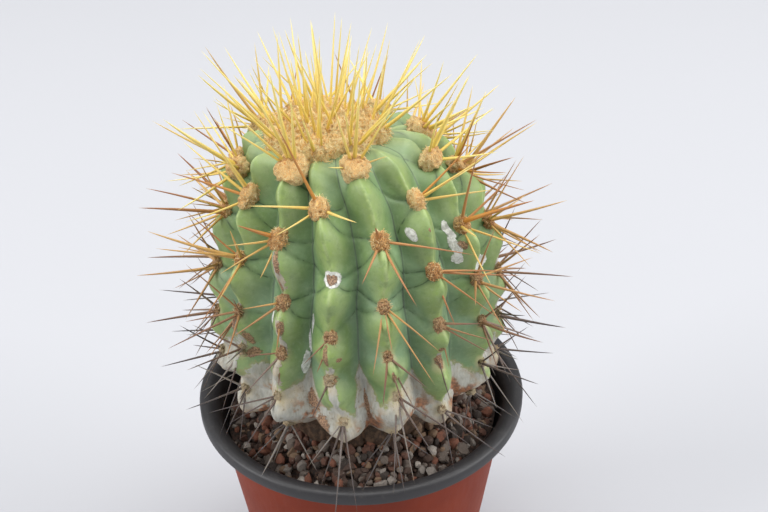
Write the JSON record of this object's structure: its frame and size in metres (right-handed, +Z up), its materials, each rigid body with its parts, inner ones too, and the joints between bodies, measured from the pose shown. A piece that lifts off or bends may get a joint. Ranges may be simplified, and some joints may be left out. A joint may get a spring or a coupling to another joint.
{
  "type": "potted copiapoa cactus",
  "caption": "Globe-shaped ribbed copiapoa cactus with woolly areoles, needle spines and a woolly golden crown, standing in grit in a round plastic nursery pot.",
  "frame": {"origin": "centre of the pot's flat underside", "axes": "+Z up through the pot and the cactus; -Y is the side that the picture shows, with +X to the right"},
  "size_m": [0.1451, 0.1457, 0.2337],
  "materials": {
    "pot_plastic": "satin terracotta outside, black inside and on the lip",
    "grit": "dry mixed pumice and lava grit",
    "cactus_skin": "waxy green skin, corky at the base, with amber to dark spines",
    "wool": "felted golden wool with golden spines"
  },
  "bodies": {
    "root": {"pot": "pot_plastic", "soil": "grit", "cactus_body": "cactus_skin", "woolly_crown": "wool"}
  },
  "joints": []
}
